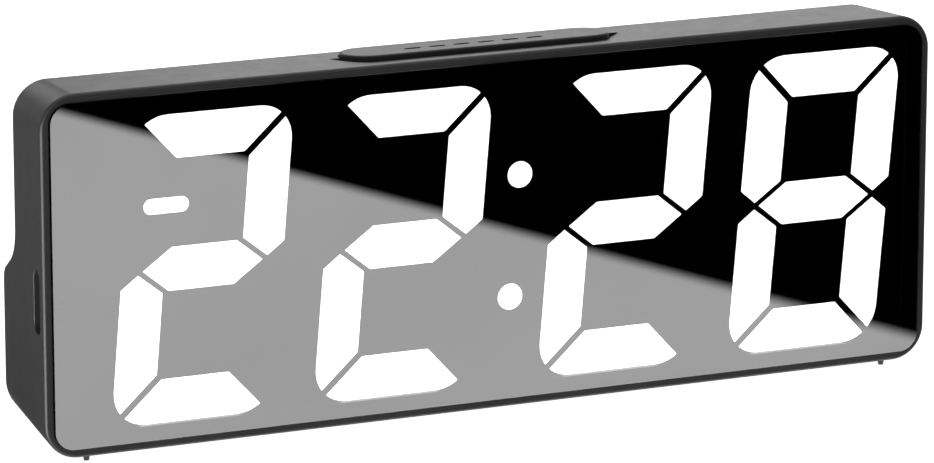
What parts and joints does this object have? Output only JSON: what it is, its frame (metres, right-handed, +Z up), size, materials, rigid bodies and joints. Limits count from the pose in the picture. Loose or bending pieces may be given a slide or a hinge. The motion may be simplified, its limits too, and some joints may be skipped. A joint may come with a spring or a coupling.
{
  "type": "digital alarm clock",
  "caption": "Slim desk alarm clock with lit digits behind a mirrored front, a press bar on top, set keys and a battery door on the deeper lower back.",
  "frame": {"origin": "middle of the clock's footprint box, on the surface that its feet rest on", "axes": "+X to the right seen from the front, +Y towards the back, +Z up; the lens faces -Y"},
  "size_m": [0.16, 0.0254, 0.0616],
  "materials": {
    "shell": "fine satin moulded plastic, dark grey",
    "lens": "half-mirrored acrylic",
    "tape": "matt foam adhesive",
    "black_plastic": "matt black",
    "segment_light": "milky diffuser, lit white",
    "board": "green lacquer over glass fibre",
    "led": "phosphor in a white body",
    "component": "moulded epoxy",
    "plated_steel": "nickel plated",
    "capacitor": "sleeved can",
    "plunger": "moulded nylon",
    "key": "satin moulded plastic, dark grey",
    "cell": "printed sleeve, steel ends",
    "lead": "insulated wire",
    "foot_rubber": "soft rubber"
  },
  "bodies": {
    "case": {"housing": "shell", "mirror_lens": "lens", "lens_tape": "tape", "light_box": "black_plastic", "digit_1_lights": "segment_light", "digit_2_lights": "segment_light", "digit_3_lights": "segment_light", "digit_4_lights": "segment_light", "colon_lights": "segment_light", "indicator_light": "segment_light", "display_board": "board", "segment_leds": "led", "clock_chip": "component", "driver_chips": "component", "crystal": "plated_steel", "capacitors": "capacitor", "resistors": "component", "buzzer": "component", "power_socket": "plated_steel", "socket_tongue": "component", "snooze_switch": "component", "set_switch_1": "component", "set_switch_2": "component", "set_switch_3": "component", "set_switch_4": "component", "battery_cell_1": "cell", "battery_cell_2": "cell", "battery_cell_3": "cell", "battery_cell_4": "cell", "battery_springs": "plated_steel", "battery_plates": "plated_steel", "battery_leads": "lead", "board_screws": "plated_steel", "front_foot_left": "shell", "front_foot_right": "shell", "rear_foot_left": "foot_rubber", "rear_foot_right": "foot_rubber"},
    "snooze": {"snooze_bar": "key", "snooze_plunger": "plunger"},
    "key_1": {"set_button_1": "key", "set_plunger_1": "plunger"},
    "key_2": {"set_button_2": "key", "set_plunger_2": "plunger"},
    "key_3": {"set_button_3": "key", "set_plunger_3": "plunger"},
    "key_4": {"set_button_4": "key", "set_plunger_4": "plunger"},
    "door": {"battery_door": "shell"}
  },
  "joints": [
    {"name": "snooze_press", "type": "slide", "parent": "case", "child": "snooze", "axis": [0, 0, -1], "range_m": [0, 0.0005], "stiffness_N_per_m": 2500, "springref_m": -0.0003},
    {"name": "set_1_press", "type": "slide", "parent": "case", "child": "key_1", "axis": [0, -1, 0], "range_m": [0, 0.00035], "stiffness_N_per_m": 3000, "springref_m": -0.0002},
    {"name": "set_2_press", "type": "slide", "parent": "case", "child": "key_2", "axis": [0, -1, 0], "range_m": [0, 0.00035], "stiffness_N_per_m": 3000, "springref_m": -0.0002},
    {"name": "set_3_press", "type": "slide", "parent": "case", "child": "key_3", "axis": [0, -1, 0], "range_m": [0, 0.00035], "stiffness_N_per_m": 3000, "springref_m": -0.0002},
    {"name": "set_4_press", "type": "slide", "parent": "case", "child": "key_4", "axis": [0, -1, 0], "range_m": [0, 0.00035], "stiffness_N_per_m": 3000, "springref_m": -0.0002},
    {"name": "battery_door_swing", "type": "hinge", "parent": "case", "child": "door", "pos_m": [0, 0.01255, 0.0065], "axis": [-1, 0, 0], "range_deg": [0, 70]}
  ]
}
